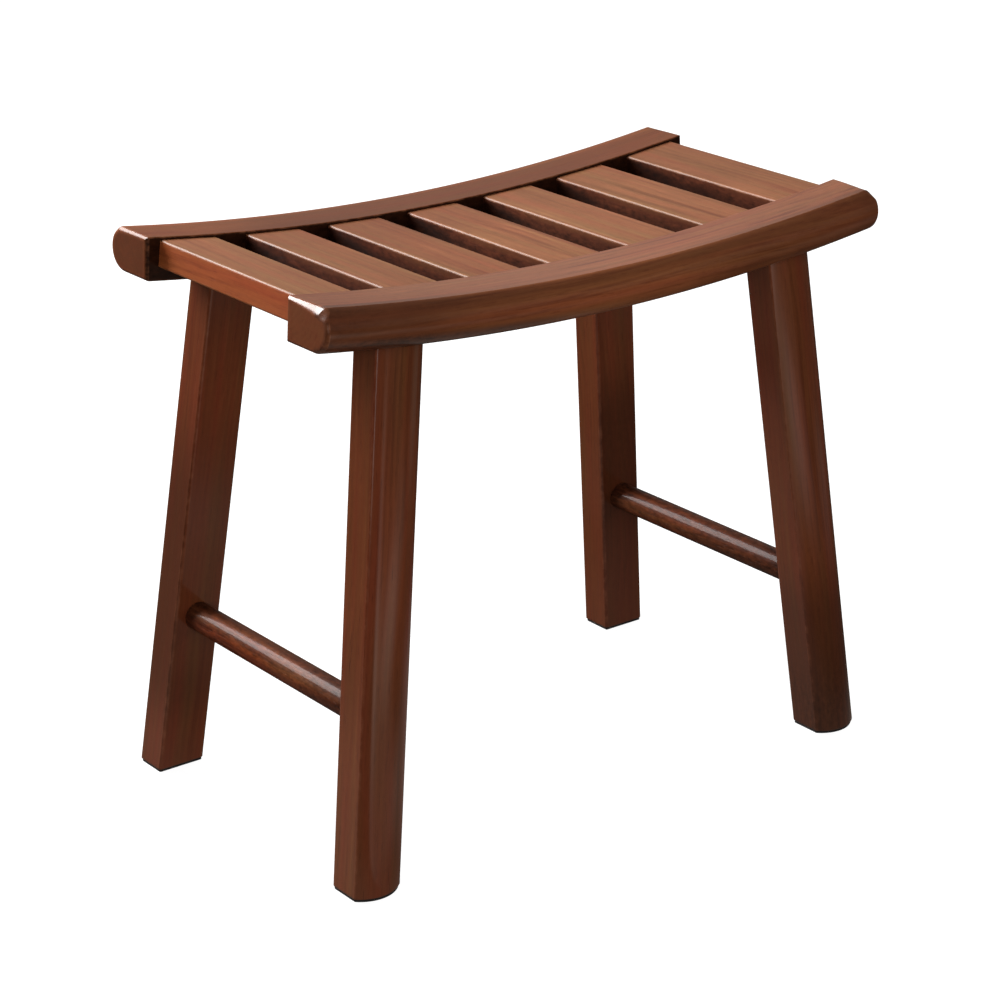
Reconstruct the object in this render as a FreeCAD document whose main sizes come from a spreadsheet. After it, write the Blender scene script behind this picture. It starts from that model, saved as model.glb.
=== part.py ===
import FreeCAD, Part
import math
import os

import Sketcher
from FreeCAD import Placement, Rotation, Vector

# Slatted wooden bath bench with a saddle-curved seat on four splayed legs.
# Frame: origin on the floor under the middle of the bench, +X along the
# bench, +Y towards its back, +Z up. Millimetres.
# The seat's curve is one circular arc in the XZ plane. Its centre stands
# above the bench, on the line x = 0, at the height that brings the rail
# ends to end_height.

doc = FreeCAD.newDocument("BathBench")
sheet = doc.addObject("Spreadsheet::Sheet", "Dims")

CELLS = [
    ("bench_length", 499.0, "length of both rails along their top"),
    ("end_slant", 0.056, "outward slope of the rail ends, per mm downwards"),
    ("end_height", 430.0, "height of the seat at its two ends"),
    ("curve_radius", 1815.0, "radius of the seat curve at the rail tops"),
    ("rail_inner", 87.5, "half the distance between the rails"),
    ("rail_flat", 31.5, "flat width of a rail's underside, inside its round nose"),
    ("rail_lip", 6.0, "flat top of a rail beyond the flat of its underside"),
    ("rail_height", 32.0, "height of a rail"),
    ("rail_lip_edge", 1.0, "rounding of the low edge between a rail's top and its nose"),
    ("rail_edge", 2.5, "rounding of the rail's ends"),
    ("rail_arris", 0.8, "rounding of the rail's long inner edges"),
    ("slat_width", 46.6, "width of a slat"),
    ("slat_thick", 20.0, "thickness of a slat"),
    ("slat_recess", 2.0, "slat tops below the rail tops"),
    ("slat_step", 2.2666, "angle from one slat to the next, degrees"),
    ("slat_edge", 1.8, "rounding of a slat's long edges"),
    ("tenon_width", 34.0, "width of a slat's tenon"),
    ("tenon_thick", 10.0, "thickness of a slat's tenon"),
    ("tenon_length", 10.0, "length of a slat's tenon"),
    ("mortise_extra", 0.5, "glue space at the bottom of a mortise"),
    ("foot_centre", 222.4, "foot's middle from the bench's middle, along X"),
    ("foot_inner", 115.0, "foot's inner face from the middle, along Y"),
    ("leg_width", 39.2, "leg along X"),
    ("leg_flat", 27.0, "flat depth of a leg along Y"),
    ("leg_bulge", 8.0, "rise of the leg's rounded outer face"),
    ("leg_edge", 2.0, "rounding of the leg's long edges"),
    ("splay_long", 0.1152, "leg slope along X"),
    ("splay_side", 0.0710, "leg slope along Y"),
    ("leg_blank", 400.0, "height of the leg before its top is scribed"),
    ("pad_thick", 2.0, "thickness of a foot pad"),
    ("pad_inset", 0.8, "foot pad inside the foot's outline"),
    ("dowel_radius", 5.0, "radius of a leg dowel"),
    ("dowel_length", 36.0, "length of a leg dowel"),
    ("dowel_spread", 8.0, "leg dowel from the leg's middle, along X"),
    ("dowel_side", 106.0, "leg dowels from the bench's middle, along Y"),
    ("dowel_joint", 389.4, "height at which a dowel is half way in"),
    ("bore_extra", 2.0, "glue space beyond both ends of a dowel"),
    ("bar_radius", 11.0, "radius of a stretcher"),
    ("bar_height", 125.0, "height of a stretcher's middle line"),
    ("bar_tenon", 7.5, "radius of the stretcher's tenon"),
    ("bar_tenon_length", 17.0, "length of the stretcher's tenon"),
]
DIM = {}
for row, (alias, value, note) in enumerate(CELLS, start=1):
    sheet.set("A%d" % row, note)
    sheet.set("B%d" % row, repr(value))
    sheet.setAlias("B%d" % row, alias)
    DIM[alias] = value
doc.recompute()
for alias in DIM:
    DIM[alias] = float(sheet.get(alias))

ARC_CENTRE = "(Dims.end_height + sqrt(Dims.curve_radius * Dims.curve_radius - Dims.bench_length * Dims.bench_length / 4))"
centre_z = DIM["end_height"] + math.sqrt(DIM["curve_radius"] ** 2 - (DIM["bench_length"] / 2) ** 2)

ORIGIN = -1      # a sketch's own origin, point 1
nodes = {}


def plane(body, role):
    for feature in body.Origin.OriginFeatures:
        if feature.Role == role:
            return feature
    raise RuntimeError("no plane " + role)


def sketch_on(body, name, role, offset=None):
    sk = body.newObject("Sketcher::SketchObject", name)
    sk.AttachmentSupport = [(plane(body, role), "")]
    sk.MapMode = "FlatFace"
    if offset is not None:
        sk.AttachmentOffset = offset
    return sk


def named(sk, constraint, name, expression):
    index = sk.addConstraint(constraint)
    sk.renameConstraint(index, name)
    sk.setExpression("Constraints." + name, expression)
    return index


def rectangle(sk, x0, y0, x1, y1):
    """Four lines from the low corner round to it; returns the first index."""
    pts = [Vector(x0, y0, 0), Vector(x1, y0, 0), Vector(x1, y1, 0), Vector(x0, y1, 0)]
    first = sk.addGeometry([Part.LineSegment(pts[i], pts[(i + 1) % 4]) for i in range(4)], False)
    first = first[0] if isinstance(first, (list, tuple)) else first
    for i in range(4):
        sk.addConstraint(Sketcher.Constraint("Coincident", first + i, 2, first + (i + 1) % 4, 1))
    for i in (0, 2):
        sk.addConstraint(Sketcher.Constraint("Horizontal", first + i))
    for i in (1, 3):
        sk.addConstraint(Sketcher.Constraint("Vertical", first + i))
    return first


def symmetric(feature):
    if hasattr(feature, "SideType"):
        feature.SideType = "Symmetric"
    else:
        feature.Midplane = True


def check_cut(before, after, what):
    if after.Shape.Volume >= before.Shape.Volume - 1e-3:
        raise RuntimeError(what + " removed nothing")


def edges_where(feature, test):
    found = []
    for i, edge in enumerate(feature.Shape.Edges, start=1):
        mid = edge.valueAt((edge.FirstParameter + edge.LastParameter) / 2)
        if test(edge, mid):
            found.append("Edge%d" % i)
    return found


# ---------------------------------------------------------------- rails
# A rail's section is flat on top, inside and below, with a nearly half-round
# nose outside, which runs smoothly into the underside and meets the top in a
# low edge. It is swept round the seat's arc, cut at both ends, rounded along
# its edges, and mortised for the slat tenons.

def make_rail(name, side):
    body = doc.addObject("PartDesign::Body", name + "_body")
    R, h = DIM["curve_radius"], DIM["rail_height"]
    a, b = side * DIM["rail_inner"], side * (DIM["rail_inner"] + DIM["rail_flat"])
    lip = DIM["rail_lip"]
    nose_r = (lip * lip + h * h) / (2 * h)          # touches the underside, ends at the lip
    sk = sketch_on(body, name + "_section", "YZ_Plane", Placement(Vector(0, centre_z, 0), Rotation()))
    sk.setExpression(".AttachmentOffset.Base.y", ARC_CENTRE)
    top = sk.addGeometry(Part.LineSegment(Vector(a, -R, 0), Vector(b + side * lip, -R, 0)), False)
    nose_centre = Vector(b, -R - h + nose_r, 0)
    rise = math.asin((h - nose_r) / nose_r)         # angle of the lip above the nose's centre
    if side > 0:
        arc = Part.ArcOfCircle(Part.Circle(nose_centre, Vector(0, 0, 1), nose_r), -math.pi / 2, rise)
        arc_top, arc_low = 2, 1
    else:
        arc = Part.ArcOfCircle(Part.Circle(nose_centre, Vector(0, 0, 1), nose_r), math.pi - rise, 3 * math.pi / 2)
        arc_top, arc_low = 1, 2
    nose = sk.addGeometry(arc, False)
    low = sk.addGeometry(Part.LineSegment(Vector(b, -R - h, 0), Vector(a, -R - h, 0)), False)
    inner = sk.addGeometry(Part.LineSegment(Vector(a, -R - h, 0), Vector(a, -R, 0)), False)
    sk.addConstraint(Sketcher.Constraint("Horizontal", top))
    sk.addConstraint(Sketcher.Constraint("Horizontal", low))
    sk.addConstraint(Sketcher.Constraint("Vertical", inner))
    sk.addConstraint(Sketcher.Constraint("Coincident", top, 2, nose, arc_top))
    sk.addConstraint(Sketcher.Constraint("Tangent", low, 1, nose, arc_low))
    sk.addConstraint(Sketcher.Constraint("Coincident", low, 2, inner, 1))
    sk.addConstraint(Sketcher.Constraint("Coincident", inner, 2, top, 1))
    named(sk, Sketcher.Constraint("DistanceX", ORIGIN, 1, top, 1, a), "inner_face",
          "Dims.rail_inner" if side > 0 else "-Dims.rail_inner")
    named(sk, Sketcher.Constraint("DistanceY", ORIGIN, 1, top, 1, -R), "arc_radius", "-Dims.curve_radius")
    named(sk, Sketcher.Constraint("Distance", low, DIM["rail_flat"]), "flat", "Dims.rail_flat")
    named(sk, Sketcher.Constraint("Distance", top, DIM["rail_flat"] + lip), "flat_top", "Dims.rail_flat + Dims.rail_lip")
    named(sk, Sketcher.Constraint("Distance", inner, h), "height", "Dims.rail_height")

    sweep = body.newObject("PartDesign::Revolution", name + "_sweep")
    sweep.Profile = sk
    sweep.ReferenceAxis = (sk, ["H_Axis"])
    sweep.Angle = 17.0
    symmetric(sweep)
    doc.recompute()

    # Each end cut is a four-sided area whose near side leans outwards going down.
    ends = sketch_on(body, name + "_end_cuts", "XZ_Plane")
    half, slant = DIM["bench_length"] / 2, DIM["end_slant"]
    high, deep = 600.0, 250.0
    top_z = DIM["end_height"]
    for sign, tag in ((-1, "left"), (1, "right")):
        near_high = sign * (half - (high - top_z) * slant)
        near_deep = sign * (half + (top_z - deep) * slant)
        far = sign * (half + 60)
        corner = [Vector(near_deep, deep, 0), Vector(far, deep, 0), Vector(far, high, 0), Vector(near_high, high, 0)]
        first = ends.addGeometry([Part.LineSegment(corner[i], corner[(i + 1) % 4]) for i in range(4)], False)
        first = first[0] if isinstance(first, (list, tuple)) else first
        for i in range(4):
            ends.addConstraint(Sketcher.Constraint("Coincident", first + i, 2, first + (i + 1) % 4, 1))
        ends.addConstraint(Sketcher.Constraint("Horizontal", first))
        ends.addConstraint(Sketcher.Constraint("Vertical", first + 1))
        ends.addConstraint(Sketcher.Constraint("Horizontal", first + 2))
        ends.addConstraint(Sketcher.Constraint("DistanceY", ORIGIN, 1, first, 1, deep))
        ends.addConstraint(Sketcher.Constraint("DistanceY", ORIGIN, 1, first + 2, 1, high))
        ends.addConstraint(Sketcher.Constraint("DistanceX", ORIGIN, 1, first + 1, 1, far))
        minus = "" if sign > 0 else "-"
        named(ends, Sketcher.Constraint("DistanceX", ORIGIN, 1, first, 1, near_deep), tag + "_low",
              "%s(Dims.bench_length / 2 + (Dims.end_height - %g) * Dims.end_slant)" % (minus, deep))
        named(ends, Sketcher.Constraint("DistanceX", ORIGIN, 1, first + 3, 1, near_high), tag + "_high",
              "%s(Dims.bench_length / 2 - (%g - Dims.end_height) * Dims.end_slant)" % (minus, high))
    trim = body.newObject("PartDesign::Pocket", name + "_cut_ends")
    trim.Profile = ends
    trim.Length = 600
    symmetric(trim)
    doc.recompute()
    check_cut(sweep, trim, name + " end cut")

    def lip_long(edge, mid):
        return abs(abs(mid.y) - DIM["rail_inner"] - DIM["rail_flat"] - lip) < 0.01 and edge.Length > 100

    def inner_long(edge, mid):
        return abs(abs(mid.y) - DIM["rail_inner"]) < 0.01 and edge.Length > 100

    def at_end(edge, mid):
        spots = [edge.valueAt(edge.FirstParameter + t * (edge.LastParameter - edge.FirstParameter)) for t in (0, 0.5, 1)]
        return all(abs(abs(v.x) - (half + (top_z - v.z) * slant)) < 0.01 for v in spots)
    lip_soft = body.newObject("PartDesign::Fillet", name + "_softened_lip")
    lip_soft.Base = (trim, edges_where(trim, lip_long))
    lip_soft.setExpression("Radius", "Dims.rail_lip_edge")
    doc.recompute()
    ends_round = body.newObject("PartDesign::Fillet", name + "_rounded_ends")
    ends_round.Base = (lip_soft, edges_where(lip_soft, at_end))
    ends_round.setExpression("Radius", "Dims.rail_edge")
    doc.recompute()
    rounded = body.newObject("PartDesign::Fillet", name + "_eased_edges")
    rounded.Base = (ends_round, edges_where(ends_round, inner_long))
    rounded.setExpression("Radius", "Dims.rail_arris")
    doc.recompute()

    # First mortise, turned to the left-hand slat, then repeated round the arc.
    start = -3 * DIM["slat_step"]
    mort = sketch_on(body, name + "_mortise", "XZ_Plane",
                     Placement(Vector(0, centre_z, -side * (DIM["rail_inner"] - 1)), Rotation(Vector(0, 0, 1), start)))
    mort.setExpression(".AttachmentOffset.Base.y", ARC_CENTRE)
    mort.setExpression(".AttachmentOffset.Base.z", "%s(Dims.rail_inner - 1)" % ("-" if side > 0 else ""))
    low_v = -(R + DIM["slat_recess"] + DIM["slat_thick"] / 2 + DIM["tenon_thick"] / 2)
    first = rectangle(mort, -DIM["tenon_width"] / 2, low_v, DIM["tenon_width"] / 2, low_v + DIM["tenon_thick"])
    named(mort, Sketcher.Constraint("DistanceX", ORIGIN, 1, first, 1, -DIM["tenon_width"] / 2), "half_width",
          "-Dims.tenon_width / 2")
    named(mort, Sketcher.Constraint("Distance", first, DIM["tenon_width"]), "width", "Dims.tenon_width")
    named(mort, Sketcher.Constraint("Distance", first + 1, DIM["tenon_thick"]), "thick", "Dims.tenon_thick")
    named(mort, Sketcher.Constraint("DistanceY", ORIGIN, 1, first, 1, low_v), "low_edge",
          "-(Dims.curve_radius + Dims.slat_recess + Dims.slat_thick / 2 + Dims.tenon_thick / 2)")
    cut = body.newObject("PartDesign::Pocket", name + "_mortise_cut")
    cut.Profile = mort
    cut.setExpression("Length", "1 + Dims.tenon_length + Dims.mortise_extra")
    # the sketch faces -Y, and a pocket goes against its face unless reversed
    cut.Reversed = side < 0
    doc.recompute()
    check_cut(rounded, cut, name + " mortise")

    row = body.newObject("PartDesign::PolarPattern", name + "_mortises")
    row.Originals = [cut]
    row.Axis = (mort, ["N_Axis"])
    row.setExpression("Angle", "6 * Dims.slat_step")
    row.Occurrences = 7
    body.Tip = row
    doc.recompute()
    return body


front_rail_body = make_rail("front_rail", -1)
back_rail_body = make_rail("back_rail", 1)


# ---------------------------------------------------------------- slats
# Each slat is a straight board with rounded long edges and a stub tenon at
# each end. It lies square to the seat's arc, its top a little below the
# rails'.

def make_slat(index):
    name = "slat_%d" % index
    k = index - 4
    body = doc.addObject("PartDesign::Body", name)
    body.Label = name
    w, t = DIM["slat_width"], DIM["slat_thick"]
    board = sketch_on(body, name + "_section", "XZ_Plane")
    first = rectangle(board, -w / 2, -t, w / 2, 0)
    named(board, Sketcher.Constraint("DistanceX", ORIGIN, 1, first, 1, -w / 2), "half_width", "-Dims.slat_width / 2")
    named(board, Sketcher.Constraint("DistanceY", ORIGIN, 1, first, 1, -t), "underside", "-Dims.slat_thick")
    named(board, Sketcher.Constraint("Distance", first, w), "width", "Dims.slat_width")
    named(board, Sketcher.Constraint("Distance", first + 1, t), "thick", "Dims.slat_thick")
    pad = body.newObject("PartDesign::Pad", name + "_board")
    pad.Profile = board
    symmetric(pad)
    pad.setExpression("Length", "2 * Dims.rail_inner")
    doc.recompute()
    rounded = body.newObject("PartDesign::Fillet", name + "_rounded_edges")
    rounded.Base = (pad, edges_where(pad, lambda e, m: e.Length > 100))
    rounded.setExpression("Radius", "Dims.slat_edge")
    doc.recompute()
    tw, tt = DIM["tenon_width"], DIM["tenon_thick"]
    tongue = sketch_on(body, name + "_tenon_section", "XZ_Plane")
    first = rectangle(tongue, -tw / 2, -t / 2 - tt / 2, tw / 2, -t / 2 + tt / 2)
    named(tongue, Sketcher.Constraint("DistanceX", ORIGIN, 1, first, 1, -tw / 2), "half_width", "-Dims.tenon_width / 2")
    named(tongue, Sketcher.Constraint("DistanceY", ORIGIN, 1, first, 1, -t / 2 - tt / 2), "underside",
          "-Dims.slat_thick / 2 - Dims.tenon_thick / 2")
    named(tongue, Sketcher.Constraint("Distance", first, tw), "width", "Dims.tenon_width")
    named(tongue, Sketcher.Constraint("Distance", first + 1, tt), "thick", "Dims.tenon_thick")
    tenons = body.newObject("PartDesign::Pad", name + "_tenons")
    tenons.Profile = tongue
    symmetric(tenons)
    tenons.setExpression("Length", "2 * (Dims.rail_inner + Dims.tenon_length)")
    body.Tip = tenons
    body.Placement = Placement(Vector(0, 0, 0), Rotation(Vector(0, 1, 0), -k * DIM["slat_step"]))
    body.setExpression(".Placement.Base.x", "(Dims.curve_radius + Dims.slat_recess) * sin(%d * Dims.slat_step * 1 deg)" % k)
    body.setExpression(".Placement.Base.z", "%s - (Dims.curve_radius + Dims.slat_recess) * cos(%d * Dims.slat_step * 1 deg)"
                       % (ARC_CENTRE, k))
    doc.recompute()
    return body


for number in range(1, 8):
    nodes["slat_%d" % number] = make_slat(number)


# ---------------------------------------------------------------- legs
# A tool of the seat's underside: everything above the rails' lower surface.
under = doc.addObject("PartDesign::Body", "underside_tool")
sk = sketch_on(under, "underside_section", "YZ_Plane", Placement(Vector(0, centre_z, 0), Rotation()))
sk.setExpression(".AttachmentOffset.Base.y", ARC_CENTRE)
low_v = -(DIM["curve_radius"] + DIM["rail_height"])
first = rectangle(sk, -170, low_v, 170, low_v + 60)
sk.addConstraint(Sketcher.Constraint("DistanceX", ORIGIN, 1, first, 1, -170))
named(sk, Sketcher.Constraint("DistanceY", ORIGIN, 1, first, 1, low_v), "underside",
      "-(Dims.curve_radius + Dims.rail_height)")
sk.addConstraint(Sketcher.Constraint("Distance", first, 340))
sk.addConstraint(Sketcher.Constraint("Distance", first + 1, 60))
ring = under.newObject("PartDesign::Revolution", "underside_ring")
ring.Profile = sk
ring.ReferenceAxis = (sk, ["H_Axis"])
ring.Angle = 20.0
symmetric(ring)
doc.recompute()


def leg_section(sk, outward, inset_name=None):
    """Flat inside and at both sides, rounded outside. The inner face lies on the sketch's X axis."""
    inset = DIM[inset_name] if inset_name else 0.0
    w, f, b = DIM["leg_width"] - 2 * inset, DIM["leg_flat"] - 2 * inset, DIM["leg_bulge"]
    lo, hi = outward * inset, outward * (inset + f)
    radius = ((w / 2) ** 2 + b ** 2) / (2 * b)
    centre = Vector(0, hi + outward * (b - radius), 0)
    half = math.asin(w / 2 / radius)
    inner = sk.addGeometry(Part.LineSegment(Vector(-w / 2, lo, 0), Vector(w / 2, lo, 0)), False)
    right = sk.addGeometry(Part.LineSegment(Vector(w / 2, lo, 0), Vector(w / 2, hi, 0)), False)
    left = sk.addGeometry(Part.LineSegment(Vector(-w / 2, hi, 0), Vector(-w / 2, lo, 0)), False)
    mid = outward * math.pi / 2
    arc = Part.ArcOfCircle(Part.Circle(centre, Vector(0, 0, 1), radius), mid - half, mid + half)
    nose = sk.addGeometry(arc, False)
    at_right, at_left = (1, 2) if outward > 0 else (2, 1)
    sk.addConstraint(Sketcher.Constraint("Coincident", inner, 2, right, 1))
    sk.addConstraint(Sketcher.Constraint("Coincident", left, 2, inner, 1))
    sk.addConstraint(Sketcher.Constraint("Coincident", right, 2, nose, at_right))
    sk.addConstraint(Sketcher.Constraint("Coincident", left, 1, nose, at_left))
    sk.addConstraint(Sketcher.Constraint("Horizontal", inner))
    sk.addConstraint(Sketcher.Constraint("Vertical", right))
    sk.addConstraint(Sketcher.Constraint("Vertical", left))
    minus = " - 2 * Dims.%s" % inset_name if inset_name else ""
    named(sk, Sketcher.Constraint("Distance", inner, w), "width", "Dims.leg_width" + minus)
    named(sk, Sketcher.Constraint("Distance", right, f), "flat", "Dims.leg_flat" + minus)
    sk.addConstraint(Sketcher.Constraint("Equal", right, left))
    named(sk, Sketcher.Constraint("DistanceX", ORIGIN, 1, inner, 1, -w / 2), "half_width",
          "-(Dims.leg_width%s) / 2" % minus)
    if inset_name:
        named(sk, Sketcher.Constraint("DistanceY", ORIGIN, 1, inner, 1, lo), "inner_face",
              ("" if outward > 0 else "-") + "Dims." + inset_name)
    else:
        sk.addConstraint(Sketcher.Constraint("PointOnObject", inner, 1, -1))
    half_width = "((Dims.leg_width%s) / 2)" % minus
    named(sk, Sketcher.Constraint("Radius", nose, radius), "nose_radius",
          "(%s * %s + Dims.leg_bulge * Dims.leg_bulge) / (2 * Dims.leg_bulge)" % (half_width, half_width))


def cylinder(name, radius, height, base, direction):
    """A round pin that starts at base and runs along direction."""
    pin = doc.addObject("Part::Cylinder", name)
    pin.setExpression("Radius", radius)
    pin.setExpression("Height", height)
    pin.Placement = Placement(base, Rotation(Vector(0, 0, 1), direction))
    return pin


leg_blanks = {}


def make_leg(name, sx, sy):
    body = doc.addObject("PartDesign::Body", name + "_blank")
    sk = sketch_on(body, name + "_section", "XY_Plane")
    leg_section(sk, sy)
    pad = body.newObject("PartDesign::Pad", name + "_post")
    pad.Profile = sk
    pad.UseCustomVector = True
    pad.Direction = Vector(-sx * DIM["splay_long"], -sy * DIM["splay_side"], 1)
    pad.setExpression("Direction.x", "%sDims.splay_long" % ("-" if sx > 0 else ""))
    pad.setExpression("Direction.y", "%sDims.splay_side" % ("-" if sy > 0 else ""))
    pad.AlongSketchNormal = True
    pad.setExpression("Length", "Dims.leg_blank - Dims.pad_thick")
    doc.recompute()
    rounded = body.newObject("PartDesign::Fillet", name + "_rounded_edges")
    rounded.Base = (pad, edges_where(pad, lambda e, m: e.Length > 100))
    rounded.setExpression("Radius", "Dims.leg_edge")
    body.Tip = rounded
    body.setExpression(".Placement.Base.x", "%d * (Dims.foot_centre - Dims.splay_long * Dims.pad_thick)" % sx)
    body.setExpression(".Placement.Base.y", "%d * (Dims.foot_inner - Dims.splay_side * Dims.pad_thick)" % sy)
    body.setExpression(".Placement.Base.z", "Dims.pad_thick")
    doc.recompute()
    leg_blanks[name] = body

    scribed = doc.addObject("Part::Cut", name + "_scribed")
    scribed.Base = body
    scribed.Tool = under

    # Two dowels stand in the top of the leg, along its slope.
    lean = Vector(-sx * DIM["splay_long"], -sy * DIM["splay_side"], 1)
    lean.normalize()
    joint_x = DIM["foot_centre"] - DIM["splay_long"] * DIM["dowel_joint"]
    pins, bores = [], []
    for j, off in enumerate((-1, 1), start=1):
        x = sx * (joint_x + off * DIM["dowel_spread"])
        z = centre_z - math.sqrt((DIM["curve_radius"] + DIM["rail_height"]) ** 2 - x * x)
        mid = Vector(x, sy * DIM["dowel_side"], z)
        half = DIM["dowel_length"] / 2
        pin = cylinder("%s_dowel_%d" % (name, j), "Dims.dowel_radius", "Dims.dowel_length", mid - lean * half, lean)
        doc.recompute()
        ends = [i for i, e in enumerate(pin.Shape.Edges, start=1) if e.Curve.TypeId == "Part::GeomCircle"]
        eased = doc.addObject("Part::Chamfer", "%s_dowel_%d_eased" % (name, j))
        eased.Base = pin
        eased.Edges = [(i, 0.8, 0.8) for i in ends]
        pins.append(eased)
        bores.append(cylinder("%s_bore_%d" % (name, j), "Dims.dowel_radius", "Dims.dowel_length + 2 * Dims.bore_extra",
                              mid - lean * (half + DIM["bore_extra"]), lean))
    dowels = doc.addObject("Part::Compound", name.replace("_leg", "") + "_dowels")
    dowels.Links = pins

    # Socket for the stretcher's tenon, level and square to the bench's side.
    bar_x = sx * (DIM["foot_centre"] - DIM["splay_long"] * DIM["bar_height"])
    face_y = DIM["foot_inner"] - DIM["splay_side"] * DIM["bar_height"]
    socket = cylinder(name + "_socket", "Dims.bar_tenon", "Dims.bar_tenon_length + Dims.mortise_extra + 20",
                      Vector(bar_x, sy * (face_y - 20), DIM["bar_height"]), Vector(0, sy, 0))
    tools = doc.addObject("Part::Compound", name + "_bores")
    tools.Links = bores + [socket]
    leg = doc.addObject("Part::Cut", name)
    leg.Label = name
    leg.Base = scribed
    leg.Tool = tools
    doc.recompute()
    check_cut(body, scribed, name + " scribed top")
    check_cut(scribed, leg, name + " bores")
    nodes[name] = leg
    nodes[name.replace("_leg", "") + "_dowels"] = dowels

    # Thin pad under the foot.
    sole = doc.addObject("PartDesign::Body", name.replace("_leg", "_foot_pad"))
    sk = sketch_on(sole, name + "_pad_section", "XY_Plane")
    leg_section(sk, sy, "pad_inset")
    thick = sole.newObject("PartDesign::Pad", name + "_pad_sheet")
    thick.Profile = sk
    thick.setExpression("Length", "Dims.pad_thick")
    sole.Tip = thick
    sole.setExpression(".Placement.Base.x", "%d * (Dims.foot_centre - Dims.splay_long * Dims.pad_thick)" % sx)
    sole.setExpression(".Placement.Base.y", "%d * (Dims.foot_inner - Dims.splay_side * Dims.pad_thick)" % sy)
    doc.recompute()
    nodes[name.replace("_leg", "_foot_pad")] = sole
    return bores


bores = {}
for name, sx, sy in (("front_left_leg", -1, -1), ("front_right_leg", 1, -1),
                     ("back_left_leg", -1, 1), ("back_right_leg", 1, 1)):
    bores[name] = make_leg(name, sx, sy)

for name, body, pair in (("front_rail", front_rail_body, ("front_left_leg", "front_right_leg")),
                         ("back_rail", back_rail_body, ("back_left_leg", "back_right_leg"))):
    tools = doc.addObject("Part::Compound", name + "_bores")
    tools.Links = bores[pair[0]] + bores[pair[1]]
    rail = doc.addObject("Part::Cut", name)
    rail.Label = name
    rail.Base = body
    rail.Tool = tools
    doc.recompute()
    check_cut(body, rail, name + " dowel bores")
    nodes[name] = rail


# ---------------------------------------------------------------- stretchers
# A round bar between the two legs of each end. Its shoulders follow the
# legs' sloping inner faces, and a thinner tenon runs on into each leg.

def make_stretcher(name, sx, front, back):
    x = sx * (DIM["foot_centre"] - DIM["splay_long"] * DIM["bar_height"])
    face_y = DIM["foot_inner"] - DIM["splay_side"] * DIM["bar_height"]
    z = DIM["bar_height"]
    face = "(Dims.foot_inner - Dims.splay_side * Dims.bar_height)"
    shaft = cylinder(name + "_shaft", "Dims.bar_radius", "2 * %s + 12" % face, Vector(x, -face_y - 6, z), Vector(0, 1, 0))
    legs = doc.addObject("Part::Compound", name + "_legs")
    legs.Links = [leg_blanks[front], leg_blanks[back]]
    shouldered = doc.addObject("Part::Cut", name + "_shouldered")
    shouldered.Base = shaft
    shouldered.Tool = legs
    core = cylinder(name + "_tenons", "Dims.bar_tenon", "2 * (%s + Dims.bar_tenon_length)" % face,
                    Vector(x, -face_y - DIM["bar_tenon_length"], z), Vector(0, 1, 0))
    bar = doc.addObject("Part::Fuse", name)
    bar.Label = name
    bar.Base = shouldered
    bar.Tool = core
    doc.recompute()
    check_cut(shaft, shouldered, name + " shoulders")
    nodes[name] = bar


make_stretcher("left_stretcher", -1, "front_left_leg", "back_left_leg")
make_stretcher("right_stretcher", 1, "front_right_leg", "back_right_leg")

# ---------------------------------------------------------------- checks and export
doc.recompute()
for obj in doc.Objects:
    if any(word in ("Invalid", "Error") for word in obj.State):
        raise RuntimeError("%s failed: %s" % (obj.Name, obj.State))
os.makedirs("parts", exist_ok=True)
whole = None
for name in sorted(nodes):
    obj = nodes[name]
    if obj.Label != name:
        obj.Label = name
    if obj.Label != name:
        raise RuntimeError("label %s is taken" % name)
    shape = obj.Shape
    if shape.isNull() or not shape.isValid():
        raise RuntimeError("bad shape: " + name)
    if not shape.Solids:
        raise RuntimeError("no solid: " + name)
    box = shape.BoundBox
    print("%-22s solids %d  volume %9.0f  x %7.1f %7.1f  y %7.1f %7.1f  z %6.1f %6.1f"
          % (name, len(shape.Solids), shape.Volume, box.XMin, box.XMax, box.YMin, box.YMax, box.ZMin, box.ZMax))
for name in sorted(nodes):
    nodes[name].Shape.exportStep("parts/%s.step" % name)
print(len(nodes), "nodes written")
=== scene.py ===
"""Slatted wooden bath bench: the finish of its pieces, the floor, the light and the view.

Lengths in this file are millimetres unless a name says otherwise; meshes are
written in metres. The bench stands with its feet on z = 0, length along X,
back towards +Y.
"""

import math

import bpy
import bmesh
import numpy as np
from mathutils import Matrix, Vector


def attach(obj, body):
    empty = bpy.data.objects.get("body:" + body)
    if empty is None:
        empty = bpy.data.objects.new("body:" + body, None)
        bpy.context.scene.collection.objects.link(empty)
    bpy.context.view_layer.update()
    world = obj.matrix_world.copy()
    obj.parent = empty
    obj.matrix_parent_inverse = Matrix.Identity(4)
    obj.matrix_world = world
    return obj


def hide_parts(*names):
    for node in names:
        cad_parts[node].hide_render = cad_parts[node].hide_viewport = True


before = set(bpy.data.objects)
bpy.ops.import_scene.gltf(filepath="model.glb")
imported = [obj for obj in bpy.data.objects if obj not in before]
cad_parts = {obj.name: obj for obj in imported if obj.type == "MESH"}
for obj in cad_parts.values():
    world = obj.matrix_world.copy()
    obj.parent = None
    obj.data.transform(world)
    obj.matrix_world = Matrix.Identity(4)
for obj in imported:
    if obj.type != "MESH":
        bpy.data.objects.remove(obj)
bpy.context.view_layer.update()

MM = 0.001

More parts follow.
